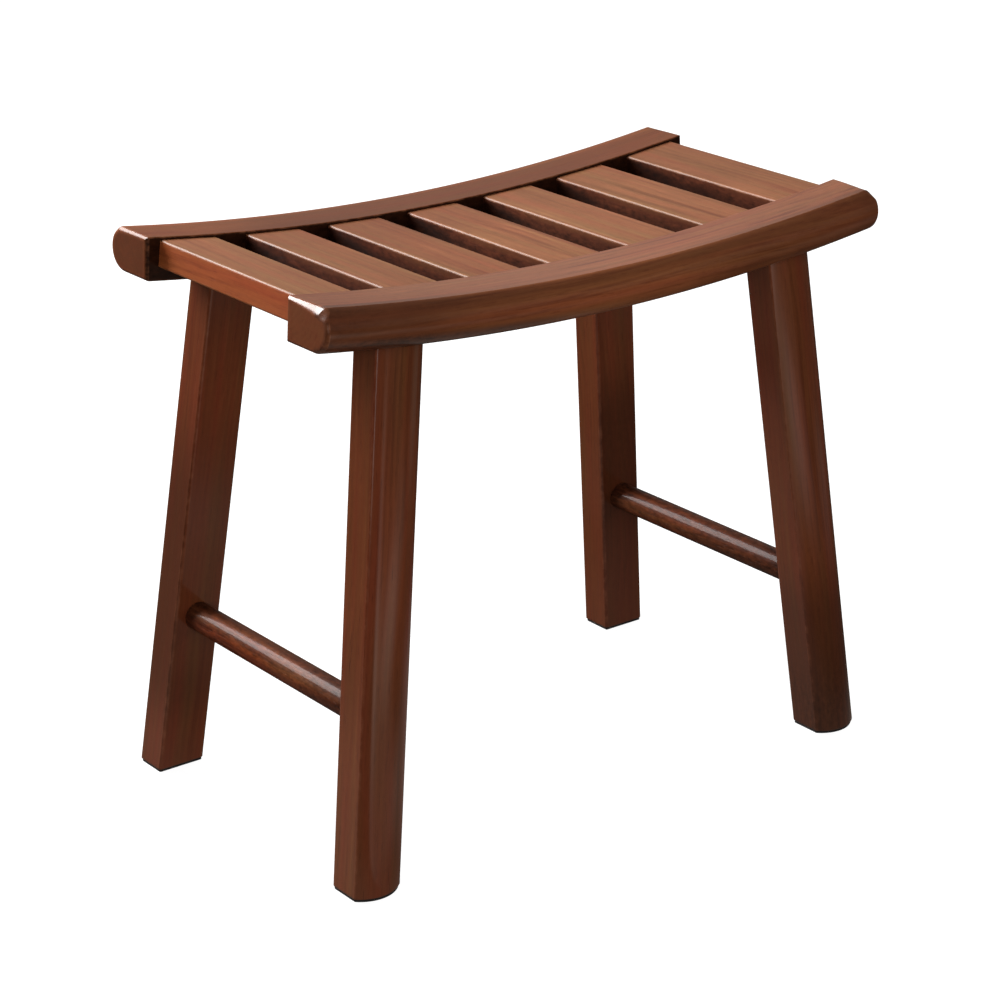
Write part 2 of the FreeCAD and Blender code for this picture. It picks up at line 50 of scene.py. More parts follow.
# ------------------------------------------------------------------ sizes
ARC_R = 1815.0                    # radius of the seat curve at the rail tops
END_Z = 430.0
HALF_LONG = 249.5                 # half the rails' length along their top
END_SLANT = 0.056                 # the ends lean outward, per mm downwards
ARC_Z = END_Z + math.sqrt(ARC_R ** 2 - HALF_LONG ** 2)
RAIL_IN, RAIL_FLAT, RAIL_LIP, RAIL_H = 87.5, 31.5, 6.0, 32.0
NOSE_R = (RAIL_LIP ** 2 + RAIL_H ** 2) / (2 * RAIL_H)
RAIL_END = 2.9                    # the eased ends
RAIL_ARRIS, LIP_EDGE = 0.8, 1.0
SLAT_W, SLAT_T, SLAT_EDGE = 46.6, 20.0, 1.8
SLAT_R = ARC_R + 2.0              # the slat tops lie 2 mm below the rails
SLAT_STEP = math.radians(2.2666)
TENON_W, TENON_T, TENON_L = 34.0, 10.0, 10.0
FOOT_X, FOOT_Y = 222.4, 115.0
LEG_W, LEG_FLAT, LEG_BULGE, LEG_EDGE = 39.2, 27.0, 8.0, 2.0
SPLAY_X, SPLAY_Y = 0.1152, 0.0710
PAD_T, PAD_IN = 2.0, 0.8
BAR_R, BAR_Z, BAR_TENON, BAR_TENON_L = 11.0, 125.0, 7.5, 17.0


# ------------------------------------------------------------ mesh helpers
def arc(cx, cy, r, a0, a1, n):
    """n + 1 points of a circle's arc, with 1 for rounded."""
    return [(cx + r * math.cos(a), cy + r * math.sin(a), 1.0)
            for a in np.linspace(a0, a1, n + 1)]


def line(p, q, n, keep=(0.6,)):
    """Points between p and q, without its ends, with extra ones near both ends."""
    p, q = np.array(p, float), np.array(q, float)
    length = np.linalg.norm(q - p)
    if length < 1e-9:
        return []
    at = [k / length for k in keep if k < 0.3 * length]
    at = at + list(np.linspace(0, 1, n + 2)[1:-1]) + [1 - t for t in at]
    at = sorted(t for t in at if 0 < t < 1)
    out, last = [], -1
    for t in at:
        if t - last > 1e-4:
            out.append((*(p + (q - p) * t), 0.0))
            last = t
    return out


def grid_object(name, rings, grain, edge, cut=None, stain=None, flip=False, ends=0.0):
    """A closed solid from rings of points. rings is (n, m, 3) in mm, grain the same
    shape, and edge, cut and stain (n, m). The two ends are closed with inset rings and
    a centre face, all of it end grain."""
    rings = np.asarray(rings, float)
    grain = np.asarray(grain, float)
    edge = np.asarray(edge, float)
    n, m = rings.shape[:2]
    cut = np.zeros((n, m)) if cut is None else np.asarray(cut, float)
    stain = np.zeros((n, m)) if stain is None else np.asarray(stain, float)
    verts, gr, ed = [rings.reshape(-1, 3)], [grain.reshape(-1, 3)], [edge.reshape(-1)]
    cu, st = [cut.reshape(-1)], [stain.reshape(-1)]
    faces = []
    idx = np.arange(n * m).reshape(n, m)
    a, b = idx[:-1], idx[1:]
    quads = np.stack([a, np.roll(a, -1, 1), np.roll(b, -1, 1), b], -1).reshape(-1, 4)
    faces += [tuple(q) for q in quads.tolist()]
    count = n * m
    for k, turn in ((0, True), (n - 1, False)):
        mid_p, mid_g = rings[k].mean(0), grain[k].mean(0)
        prev = idx[k]
        for s in (0.12, 0.35, 0.7):
            verts.append(rings[k] + (mid_p - rings[k]) * s)
            gr.append(grain[k] + (mid_g - grain[k]) * s)
            ed.append(np.zeros(m))
            cu.append(np.ones(m))
            st.append(np.full(m, stain[k].min() + ends))
            cur = np.arange(count, count + m)
            count += m
            q = np.stack([prev, np.roll(prev, -1), np.roll(cur, -1), cur], -1)
            if turn:
                q = q[:, ::-1]
            faces += [tuple(f) for f in q.tolist()]
            prev = cur
        last = prev.tolist()
        faces.append(tuple(last[::-1] if turn else last))
    if flip:
        faces = [f[::-1] for f in faces]
    verts = np.concatenate(verts)
    me = bpy.data.meshes.new(name)
    me.from_pydata((verts * MM).tolist(), [], faces)
    put_fields(me, np.concatenate(gr), edge=np.concatenate(ed), cut=np.concatenate(cu), stain=np.concatenate(st))
    me.validate()
    return finish_object(name, me)


def put_fields(me, gr, **fields):
    """Where each point lies in its board, along the grain first, in metres; how near it is
    to an edge; how much of it is end grain; and how dark it is made there, by stain and by painted shade."""
    f = me.attributes.new("grain", "FLOAT_VECTOR", "POINT")
    f.data.foreach_set("vector", (np.asarray(gr) * MM).astype(np.float32).ravel())
    for key, values in fields.items():
        f = me.attributes.new(key, "FLOAT", "POINT")
        f.data.foreach_set("value", np.asarray(values).astype(np.float32).ravel())


def swell(x, points):
    """A smooth curve through (x, value) points, level beyond the first and the last."""
    x = np.asarray(x, float)
    out = np.full(x.shape, float(points[0][1]))
    for (x0, v0), (x1, v1) in zip(points[:-1], points[1:]):
        t = np.clip((x - x0) / (x1 - x0), 0, 1)
        out = out + (v1 - v0) * t * t * (3 - 2 * t)
    return out


def finish_object(name, me, sharp=32.0):
    bm = bmesh.new()
    bm.from_mesh(me)
    bmesh.ops.recalc_face_normals(bm, faces=bm.faces)
    bm.to_mesh(me)
    bm.free()
    me.shade_smooth()
    me.set_sharp_from_angle(angle=math.radians(sharp))
    ob = bpy.data.objects.new(name, me)
    bpy.context.scene.collection.objects.link(ob)
    return ob


# ------------------------------------------------------------------- rails
def rail_section(d):
    """The rail's section drawn in by d: distance outward from the bench's middle, depth
    below the rail top, and 1 on its rounded parts. It starts at the top of the inner face.
    The nose is a circle that touches the underside and meets the top in a soft low edge."""
    nose, mid = RAIL_IN + RAIL_FLAT, RAIL_H - NOSE_R
    m = max(RAIL_ARRIS, d)
    rr = m - d
    lo, hi = RAIL_IN + m, RAIL_H - m
    k = max(LIP_EDGE, d)
    lip = nose + math.sqrt((NOSE_R - k) ** 2 - (mid - k) ** 2)
    turn = math.atan2(k - mid, lip - nose)
    pts = arc(lo, m, rr, math.pi, math.pi * 1.5, 6)
    pts += line((lo, d), (lip, d), 10)
    pts += [(x, y, 0.8) for x, y, _ in arc(lip, k, k - d, -math.pi / 2, turn, 6)]
    pts += [(x, y, 0.0) for x, y, _ in arc(nose, mid, NOSE_R - d, turn, math.pi / 2, 40)[1:]]
    pts += line((nose, RAIL_H - d), (lo, RAIL_H - d), 7)
    pts += arc(lo, hi, rr, math.pi / 2, math.pi, 6)
    pts += line((RAIL_IN + d, hi), (RAIL_IN + d, m), 7)
    return np.array(pts)


def eased_corner(n, slope):
    """n + 1 steps over a corner of size 1, as (along, in): round where slope is 1, and with
    more of it a slope at 45 degrees that is rounded into the side and the end it meets."""
    t = np.linspace(-1, 1, 801)
    turn = (1 + np.sign(t) * np.abs(t) ** slope) * math.pi / 4
    along = np.concatenate([[0], np.cumsum(np.cos((turn[1:] + turn[:-1]) / 2))])
    inward = np.concatenate([[0], np.cumsum(np.sin((turn[1:] + turn[:-1]) / 2))])
    at = np.interp(np.linspace(0, math.pi / 2, n + 1), turn, np.arange(801))
    at = 0.5 * (at + np.linspace(0, 800, n + 1))
    return [(np.interp(k, np.arange(801), along) / along[-1], np.interp(k, np.arange(801), inward) / inward[-1])
            for k in at]


def make_rail(name, side, stain, nose_stain, low_stain, high_stain, inner, more):
    flat = rail_section(0.0)
    # the ends' edges are eased by hand, most where the top meets the nose
    out = np.clip((flat[:, 0] - RAIL_IN) / RAIL_FLAT, 0, 1)
    low = np.clip((8.0 - flat[:, 1]) / 7.0, 0, 1)
    grow = out ** 1.6 * low * low * (3 - 2 * low)
    ends = []
    for extra, slope in more:
        size = RAIL_END - 0.2 * np.clip((flat[:, 1] - 4.0) / 5.0, 0, 1) + extra * grow
        ends.append([(HALF_LONG - size * (1 - a), size * b, b) for a, b in eased_corner(12, slope)])
    limit = HALF_LONG - RAIL_END - max(extra for extra, _ in more) - 0.7
    inside = [(np.full(len(flat), x), 0 * grow, 0.0) for x in np.linspace(-limit, limit, 181)]
    stations = [(-x, d, b) for x, d, b in ends[0][::-1]] + inside + ends[1]
    outside = np.clip((flat[:, 0] - RAIL_IN - RAIL_FLAT - 0.5) / 2.0, 0, 1)
    rings, grain, edge, cut, dark = [], [], [], [], []
    for x, d, b in stations:
        sec = flat if b == 0.0 else np.array([rail_section(dk)[k] for k, dk in enumerate(d)])
        rho = ARC_R + sec[:, 1]
        xx = x.copy()
        for _ in range(6):
            z = ARC_Z - np.sqrt(rho ** 2 - xx ** 2)
            xx = x * (1 + (END_Z - z) * END_SLANT / HALF_LONG)
        y = side * sec[:, 0]
        rings.append(np.stack([xx, y, z], 1))
        along = ARC_R * np.arcsin(xx / ARC_R)
        # the board was sawn with its grain nearly along the curve
        grain.append(np.stack([along, y, -sec[:, 1] + 0.00022 * x * x], 1))
        edge.append(np.maximum(flat[:, 2], 1.0 if b > 0 else 0.0))
        cut.append(np.full(len(sec), min(1.0, b)))
        # the last term is painted shade on the inner face above the slats
        dark.append(swell(xx, stain) * (1 - outside) + swell(xx, nose_stain) * outside
                    + swell(xx, low_stain) * outside * np.clip((flat[:, 1] - 20.0) / 5.0, 0, 1)
                    + swell(xx, high_stain) * outside * np.clip((flat[:, 1] - 0.5) / 0.8, 0, 1)
                    * np.clip((7.5 - flat[:, 1]) / 3.0, 0, 1)
                    + inner * (1 - b) * (flat[:, 0] < RAIL_IN + 0.3) * (flat[:, 1] > 0.5))
    return grid_object(name, rings, grain, edge, cut, dark, flip=side > 0, ends=0.50 if side > 0 else 0.08)


# ------------------------------------------------------------------- slats
def slat_section():
    w, t, r = SLAT_W / 2, SLAT_T, SLAT_EDGE
    pts = arc(-w + r, -r, r, math.pi, math.pi / 2, 7)
    pts += line((-w + r, 0), (w - r, 0), 9)
    pts += arc(w - r, -r, r, math.pi / 2, 0, 7)
    down = [-2.1, -2.7, -3.6, -5.0, -7.4, -10.0, -13.0, -16.0, -17.6]
    pts += [(w, v, 0.0) for v in down]
    pts += arc(w - r, -t + r, r, 0, -math.pi / 2, 7)
    pts += line((w - r, -t), (-w + r, -t), 9)
    pts += arc(-w + r, -t + r, r, -math.pi / 2, -math.pi, 7)
    pts += [(-w, v, 0.0) for v in down[::-1]]
    return np.array(pts)


def make_slat(index, stain):
    name = "seat_slat_%d" % index
    k = index - 4
    tilt = k * SLAT_STEP
    sec = slat_section()
    # the same points drawn onto the tenon's smaller section
    cx, cz = 0.0, -SLAT_T / 2
    tenon = sec[:, :2].copy()
    tenon[:, 0] = (tenon[:, 0] - cx) * (TENON_W / SLAT_W)
    tenon[:, 1] = cz + (tenon[:, 1] - cz) * (TENON_T / SLAT_T)
    body = RAIL_IN - 0.04
    far = RAIL_IN + TENON_L
    rings, grain, edge, dark = [], [], [], []

    # painted shade on the slat sides that face another slat, darker further down and darkest towards the back rail;
    # the outer sides of the two end slats are made redder
    side = np.abs(sec[:, 0]) > SLAT_W / 2 - 0.6
    gap_shade = side * (0.75 * np.clip((-sec[:, 1] - 0.5) / 1.1, 0, 1) + 0.40 * np.clip((-sec[:, 1] - 3.0) / 7.0, 0, 1))
    outer = side & (np.sign(sec[:, 0]) == {1: -1, 7: 1}.get(index, 0)) & (sec[:, 1] < -0.8)
    gap_shade = gap_shade * ~outer

    def ring(y, shape, e):
        rings.append((y, shape))
        edge.append(e)
        # the painted shade between the slats grows towards the back rail
        deep = 1.0 + 0.5 * np.clip((y - 30.0) / 54.0, 0, 1)
        dark.append((swell(np.full(len(e), y), stain) + deep * gap_shade) * ~outer - 0.9 * outer)

    eased = tenon.copy()
    eased[:, 0] *= (TENON_W - 1.2) / TENON_W
    eased[:, 1] = cz + (eased[:, 1] - cz) * (TENON_T - 1.2) / TENON_T
    flat = sec[:, :2]
    none = np.zeros(len(sec))
    ring(-far, eased, none)
    ring(-far + 0.8, tenon, none)
    ring(-body, tenon, none)
    ring(-body, flat, sec[:, 2])
    for y in [-body + 0.5] + list(np.linspace(-body + 6, body - 6, 41)) + [body - 0.5]:
        ring(y, flat, sec[:, 2])
    ring(body, flat, sec[:, 2])
    ring(body, tenon, none)
    ring(far - 0.8, tenon, none)
    ring(far, eased, none)
    c, s = math.cos(tilt), math.sin(tilt)
    ox, oz = SLAT_R * math.sin(tilt), ARC_Z - SLAT_R * math.cos(tilt)
    out = []
    for (y, shape) in rings:
        u, v = shape[:, 0], shape[:, 1]
        out.append(np.stack([ox + u * c - v * s, np.full(len(u), y), oz + u * s + v * c], 1))
        grain.append(np.stack([np.full(len(u), y), u, v], 1))
    return grid_object(name, out, grain, edge, stain=dark)


# -------------------------------------------------------------------- legs
def leg_profile(inset=0.0):
    """Across the leg, outward from its inner face, and 1 on the rounded edges."""
    w = LEG_W / 2 - inset
    lo, hi = inset, LEG_FLAT - inset
    radius = (w ** 2 + LEG_BULGE ** 2) / (2 * LEG_BULGE)
    cy = hi + LEG_BULGE - radius
    r = max(LEG_EDGE - inset, 0.3)
    qc = cy + math.sqrt((radius - r) ** 2 - (w - r) ** 2)
    turn = math.atan2(qc - cy, w - r)
    pts = arc(-w + r, lo + r, r, math.pi, math.pi * 1.5, 7)
    pts += line((-w + r, lo), (w - r, lo), 8)
    pts += arc(w - r, lo + r, r, -math.pi / 2, 0, 7)
    pts += line((w, lo + r), (w, qc), 6)
    pts += arc(w - r, qc, r, 0, turn, 5)
    pts += [(x, y, 0.0) for x, y, _ in arc(0, cy, radius, turn, math.pi - turn, 40)[1:-1]]
    pts += arc(-w + r, qc, r, math.pi - turn, math.pi, 5)
    pts += line((-w, qc), (-w, lo + r), 6)
    return np.array(pts)


def make_leg(name, sx, sy, stain, inner, outer):
    prof = leg_profile()
    under = ARC_R + RAIL_H
    p, q = prof[:, 0], prof[:, 1]

    def place(p, q, z):
        return FOOT_X - SPLAY_X * z + p, FOOT_Y - SPLAY_Y * z + q

    top = np.full(len(p), 390.0)
    for _ in range(30):
        x, _y = place(p, q, top)
        top = ARC_Z - np.sqrt(under ** 2 - x ** 2)
    ease = 0.9                       # the foot's lower edge is eased a little
    steps = [(PAD_T, ease), (PAD_T + 0.12, ease * 0.55), (PAD_T + 0.4, ease * 0.2), (PAD_T + ease, 0.0)]
    mid_p, mid_q = 0.0, LEG_FLAT / 2
    rings, grain, edge, dark = [], [], [], []

    def add(z, pull, e):
        # drawn in by pull, along the section's own normals roughly towards its middle
        pp = p - np.clip(p - mid_p, -1, 1) * pull
        qq = q - np.clip(q - mid_q, -1, 1) * pull
        x, y = place(pp, qq, z)
        rings.append(np.stack([sx * x, sy * y, z * np.ones(len(p))], 1))
        grain.append(np.stack([z * np.ones(len(p)), pp, qq], 1))
        edge.append(e)
        tall = z * np.ones(len(p))
        dark.append(swell(tall, stain) + swell(tall, inner) * (prof[:, 1] < 0.5)
                    + swell(tall, outer) * (prof[:, 1] > LEG_FLAT + 0.5))

    for z, pull in steps:
        add(z, pull, np.ones(len(p)) * (0.8 if pull else 0.0) + (pull == 0) * prof[:, 2])
    z0 = PAD_T + ease
    for t in [0.003] + list(np.linspace(0.01, 0.99, 70)) + [0.9985, 1.0]:
        add(z0 + (top - z0) * t, 0.0, prof[:, 2])
    return grid_object(name, rings, grain, edge, stain=dark, flip=sx * sy < 0)


def make_pad(name, sx, sy):
    prof = leg_profile(PAD_IN)
    p, q = prof[:, 0], prof[:, 1]
    x0, y0 = FOOT_X - SPLAY_X * PAD_T, FOOT_Y - SPLAY_Y * PAD_T
    rings, grain, edge = [], [], []
    for z, pull in ((0.0, 0.35), (0.1, 0.1), (0.35, 0.0), (0.8, 0.0), (1.0, 0.12), (1.2, 0.0),
                    (1.65, 0.0), (1.9, 0.1), (2.0, 0.35)):
        pp = p - np.clip(p, -1, 1) * pull
        qq = q - np.clip(q - LEG_FLAT / 2, -1, 1) * pull
        rings.append(np.stack([sx * (x0 + pp), sy * (y0 + qq), np.full(len(p), z)], 1))
        grain.append(np.stack([np.full(len(p), z), pp, qq], 1))
        edge.append(np.full(len(p), 1.0 if pull else 0.0))
    return grid_object(name, rings, grain, edge, flip=sx * sy < 0)


# -------------------------------------------------------------- stretchers
def make_bar(name, sx, stain):
    cx = sx * (FOOT_X - SPLAY_X * BAR_Z)
    n = 96
    ang = np.linspace(0, 2 * math.pi, n, endpoint=False)
    face = FOOT_Y - SPLAY_Y * BAR_Z
    rings, grain, edge, dark = [], [], [], []

    def ring(y, r, e=0.0):
        y = np.full(n, y) if np.isscalar(y) else y
        x, z = cx + r * np.cos(ang), BAR_Z + r * np.sin(ang)
        rings.append(np.stack([x, y, z], 1))
        grain.append(np.stack([y, r * np.cos(ang), r * np.sin(ang)], 1))
        edge.append(np.full(n, e))
        dark.append(swell(y, stain) * (1 - shade) + 0.90 * shade)

    # painted shade: a dark band along the stretcher's upper side and a weaker one along its underside
    away = np.degrees(ang)
    shade = np.clip(1.2 - np.abs(away - 86.0) / 28.0, 0, 0.80) + np.clip(1.2 - np.abs(away - 242.0) / 22.0, 0, 0.5)
    shoulder = FOOT_Y - SPLAY_Y * (BAR_Z + BAR_R * np.sin(ang)) - 0.04
    neck = FOOT_Y - SPLAY_Y * (BAR_Z + BAR_TENON * np.sin(ang)) - 0.04
    end = face + BAR_TENON_L
    ring(-end, BAR_TENON - 0.8)
    ring(-end + 0.8, BAR_TENON)
    ring(-neck, BAR_TENON)
    ring(-shoulder, BAR_R, 0.6)
    for t in [-0.996] + list(np.linspace(-0.97, 0.97, 61)) + [0.996]:
        ring(shoulder * t, BAR_R)
    ring(shoulder, BAR_R, 0.6)
    ring(neck, BAR_TENON)
    ring(end - 0.8, BAR_TENON)
    ring(end, BAR_TENON - 0.8)
    return grid_object(name, rings, grain, edge, stain=dark)


# --------------------------------------------------------------- materials
def new_tree(name):
    mat = bpy.data.materials.new(name)
    mat.use_nodes = True
    nt = mat.node_tree
    nt.nodes.clear()
    out = nt.nodes.new("ShaderNodeOutputMaterial")
    bsdf = nt.nodes.new("ShaderNodeBsdfPrincipled")
    nt.links.new(bsdf.outputs[0], out.inputs[0])
    return mat, nt, bsdf


class Net:
    """Short calls for a node tree."""

    def __init__(self, nt):
        self.nt = nt

    def node(self, kind, **props):
        n = self.nt.nodes.new(kind)
        for k, v in props.items():
            setattr(n, k, v)
        return n

    def put(self, socket, value):
        if isinstance(value, bpy.types.NodeSocket):
            self.nt.links.new(value, socket)
        else:
            socket.default_value = value

    def math(self, op, a, b=0.0, c=0.0, clamp=False):
        n = self.node("ShaderNodeMath", operation=op, use_clamp=clamp)
        for s, v in zip(n.inputs, (a, b, c)):
            self.put(s, v)
        return n.outputs[0]

    def vec(self, op, a, b=(0, 0, 0)):
        n = self.node("ShaderNodeVectorMath", operation=op)
        self.put(n.inputs[0], a)
        if op == "SCALE":
            self.put(n.inputs["Scale"], b)
        else:
            self.put(n.inputs[1], b)
        return n.outputs["Value"] if op in ("LENGTH", "DOT_PRODUCT", "DISTANCE") else n.outputs["Vector"]

    def noise(self, vector, scale=1.0, detail=2.0, rough=0.5, distortion=0.0, lac=2.0):
        n = self.node("ShaderNodeTexNoise", noise_dimensions="3D")
        self.put(n.inputs["Vector"], vector)
        n.inputs["Scale"].default_value = scale
        n.inputs["Detail"].default_value = detail
        n.inputs["Roughness"].default_value = rough
        n.inputs["Lacunarity"].default_value = lac
        n.inputs["Distortion"].default_value = distortion
        return n.outputs[0]

    def noise_color(self, *args):
        return self.noise(*args).node.outputs["Color"]

    def ramp(self, fac, lo, hi, out_lo=0.0, out_hi=1.0, smooth=True):
        n = self.node("ShaderNodeMapRange", interpolation_type="SMOOTHSTEP" if smooth else "LINEAR", clamp=True)
        for key, v in (("Value", fac), ("From Min", lo), ("From Max", hi), ("To Min", out_lo), ("To Max", out_hi)):
            self.put(n.inputs[key], v)
        return n.outputs[0]

    def mix(self, fac, a, b, blend="MIX"):
        n = self.node("ShaderNodeMix", data_type="RGBA", blend_type=blend)
        self.put(n.inputs[0], fac)
        self.put(n.inputs[6], a)
        self.put(n.inputs[7], b)
        return n.outputs[2]


def wood_group():
    """Stained hardwood by its place in the board: growth rings, fibre, pores and blotches of stain."""
    g = bpy.data.node_groups.new("stained_wood", "ShaderNodeTree")
    io = g.interface
    for key in ("Grain", "Shift", "Pith"):
        io.new_socket(key, in_out="INPUT", socket_type="NodeSocketVector")
    for key in ("Edge", "Cut", "Stain", "Contrast", "Mottle", "Hue"):
        io.new_socket(key, in_out="INPUT", socket_type="NodeSocketFloat")
    for key in ("Light", "Middle", "Dark", "Worn", "Deep"):
        io.new_socket(key, in_out="INPUT", socket_type="NodeSocketColor")
    io.new_socket("Color", in_out="OUTPUT", socket_type="NodeSocketColor")
    io.new_socket("Roughness", in_out="OUTPUT", socket_type="NodeSocketFloat")
    io.new_socket("Height", in_out="OUTPUT", socket_type="NodeSocketFloat")
    net = Net(g)
    gi = net.node("NodeGroupInput")
    go = net.node("NodeGroupOutput")
    cut = gi.outputs["Cut"]
    p = net.vec("ADD", gi.outputs["Grain"], gi.outputs["Shift"])
    # slow bends in the log
    bend = net.noise(net.vec("MULTIPLY", p, (4.0, 16.0, 16.0)), 1.0, 2.0, 0.5)
    bend = net.math("SUBTRACT", bend, 0.5)
    q = net.vec("ADD", gi.outputs["Grain"], gi.outputs["Pith"])
    q = net.vec("MULTIPLY", q, (0.06, 1.0, 1.0))
    radius = net.vec("LENGTH", q)
    radius = net.math("MULTIPLY_ADD", bend, 0.022, radius)
    # growth rings about 4 mm apart, uneven
    ring_t = net.math("MULTIPLY", radius, 1.0 / 0.0042)
    uneven = net.noise(net.vec("MULTIPLY", p, (1.5, 60.0, 60.0)), 1.0, 1.0, 0.5)
    ring_t = net.math("MULTIPLY_ADD", uneven, 1.4, ring_t)
    fr = net.math("FRACT", ring_t)
    ring = net.math("MULTIPLY", net.ramp(fr, 0.0, 0.72), net.ramp(fr, 1.0, 0.9))
    # long fibres, in three widths, that wander a little along the board
    wander = net.vec("SCALE", net.noise_color(net.vec("MULTIPLY", p, (7.0, 3.0, 3.0)), 1.0, 1.0, 0.5), 0.006)
    pw = net.vec("ADD", p, wander)
    fibre = net.noise(net.vec("MULTIPLY", pw, (11.0, 850.0, 850.0)), 1.0, 2.0, 0.6)
    streak = net.noise(net.vec("MULTIPLY", pw, (3.5, 210.0, 210.0)), 1.0, 2.0, 0.5)
    band = net.noise(net.vec("MULTIPLY", pw, (2.2, 62.0, 62.0)), 1.0, 2.0, 0.5)
    hue = net.noise(net.vec("MULTIPLY", pw, (5.0, 95.0, 95.0)), 1.0, 1.0, 0.5)
    # pores, short dark dashes along the grain, and dots on the end grain
    pore = net.noise(net.vec("MULTIPLY", p, (75.0, 1500.0, 1500.0)), 1.0, 1.0, 0.5)
    pore = net.ramp(pore, 0.60, 0.72)
    pore = net.math("MULTIPLY", pore, net.math("MULTIPLY_ADD", ring, 0.6, 0.4))
    # cloudy stain
    cloud = net.noise(net.vec("MULTIPLY", p, (9.0, 22.0, 22.0)), 1.0, 3.0, 0.55)

    t = net.math("MULTIPLY_ADD", net.math("SUBTRACT", streak, 0.5), 1.15, 0.5)
    t = net.math("MULTIPLY_ADD", net.math("SUBTRACT", fibre, 0.5), 0.62, t)
    t = net.math("MULTIPLY_ADD", net.math("SUBTRACT", band, 0.5), 0.85, t)
    t = net.math("MULTIPLY_ADD", net.math("SUBTRACT", cloud, 0.5), 0.55, t)
    t = net.math("MULTIPLY_ADD", net.math("SUBTRACT", ring, 0.45), -0.16, t)
    t = net.math("MULTIPLY_ADD", net.math("SUBTRACT", t, 0.5), gi.outputs["Contrast"], 0.5)
    low = net.ramp(t, 0.10, 0.52)
    high = net.ramp(t, 0.48, 0.92)
    col = net.mix(low, gi.outputs["Dark"], gi.outputs["Middle"])
    col = net.mix(high, col, gi.outputs["Light"])
    col = net.mix(net.math("MULTIPLY", pore, 0.60), col, gi.outputs["Dark"])
    # redder and yellower streaks
    lean = net.math("MULTIPLY", net.math("SUBTRACT", hue, 0.5), gi.outputs["Hue"])
    tint = net.vec("SCALE", (0.30, -0.62, -0.25), lean)
    tint = net.vec("ADD", tint, (1.0, 1.0, 1.0))
    col = net.vec("MULTIPLY", col, tint)
    # end grain drinks more stain
    col = net.mix(net.math("MULTIPLY", cut, 0.62), col, gi.outputs["Dark"])
    # some stretches of each piece are darker too, by the stain field, which is partly stain and partly painted shade
    deep = gi.outputs["Deep"]
    some = net.math("MULTIPLY_ADD", net.math("SUBTRACT", streak, 0.5), 0.5, gi.outputs["Stain"])
    some = net.math("MULTIPLY", net.ramp(gi.outputs["Stain"], 0.0, 0.12), net.math("MAXIMUM", some, 0.0))
    col = net.mix(net.math("MINIMUM", some, 0.95), col, deep)
    # small blotches, more so where the stain field runs high
    spot = net.noise(net.vec("MULTIPLY", p, (150.0, 320.0, 320.0)), 1.0, 3.0, 0.65)
    blotch = net.math("ADD", gi.outputs["Mottle"], net.ramp(gi.outputs["Stain"], 0.70, 1.0, 0.0, 2.2))
    spot = net.math("MULTIPLY_ADD", net.math("SUBTRACT", spot, 0.5), blotch, 1.0)
    col = net.vec("SCALE", col, net.math("MAXIMUM", spot, 0.12))
    # where the stain field runs highest it is nearly black: painted deep shade, in the slat gaps and on the rails'
    # inner faces
    black = net.ramp(gi.outputs["Stain"], 0.9, 1.5, 1.0, 0.22)
    col = net.vec("SCALE", col, black)
    # below zero it is thin, and the wood's own red shows
    col = net.mix(net.ramp(gi.outputs["Stain"], 0.0, -1.0), col, net.vec("MULTIPLY", col, (1.28, 0.80, 0.58)))
    # the stain is rubbed thin along the edges
    rub = net.noise(net.vec("MULTIPLY", p, (120.0, 160.0, 160.0)), 1.0, 3.0, 0.6)
    rub = net.math("MULTIPLY", net.ramp(rub, 0.35, 0.75), gi.outputs["Edge"])
    rub = net.math("MULTIPLY", rub, net.math("MULTIPLY_ADD", cut, -0.8, 1.0))
    col = net.mix(net.math("MULTIPLY", rub, 0.40), col, gi.outputs["Worn"])
    net.put(go.inputs["Color"], col)
    r = net.math("MULTIPLY_ADD", fibre, 0.16, 0.34)
    r = net.math("MULTIPLY_ADD", cloud, 0.08, r)
    r = net.math("MULTIPLY_ADD", rub, 0.06, r)
    r = net.math("MULTIPLY_ADD", cut, 0.12, r)
    net.put(go.inputs["Roughness"], r)
    h = net.math("MULTIPLY_ADD", pore, -0.9, net.math("MULTIPLY", fibre, 0.55))
    h = net.math("MULTIPLY_ADD", streak, 0.6, h)
    net.put(go.inputs["Height"], h)
    return g


WOOD = wood_group()


def lin(r, g, b):
    """8-bit sRGB to linear colour."""
    out = []
    for c in (r, g, b):
        c /= 255.0
        out.append(c / 12.92 if c <= 0.04045 else ((c + 0.055) / 1.055) ** 2.4)
    return (*out, 1.0)


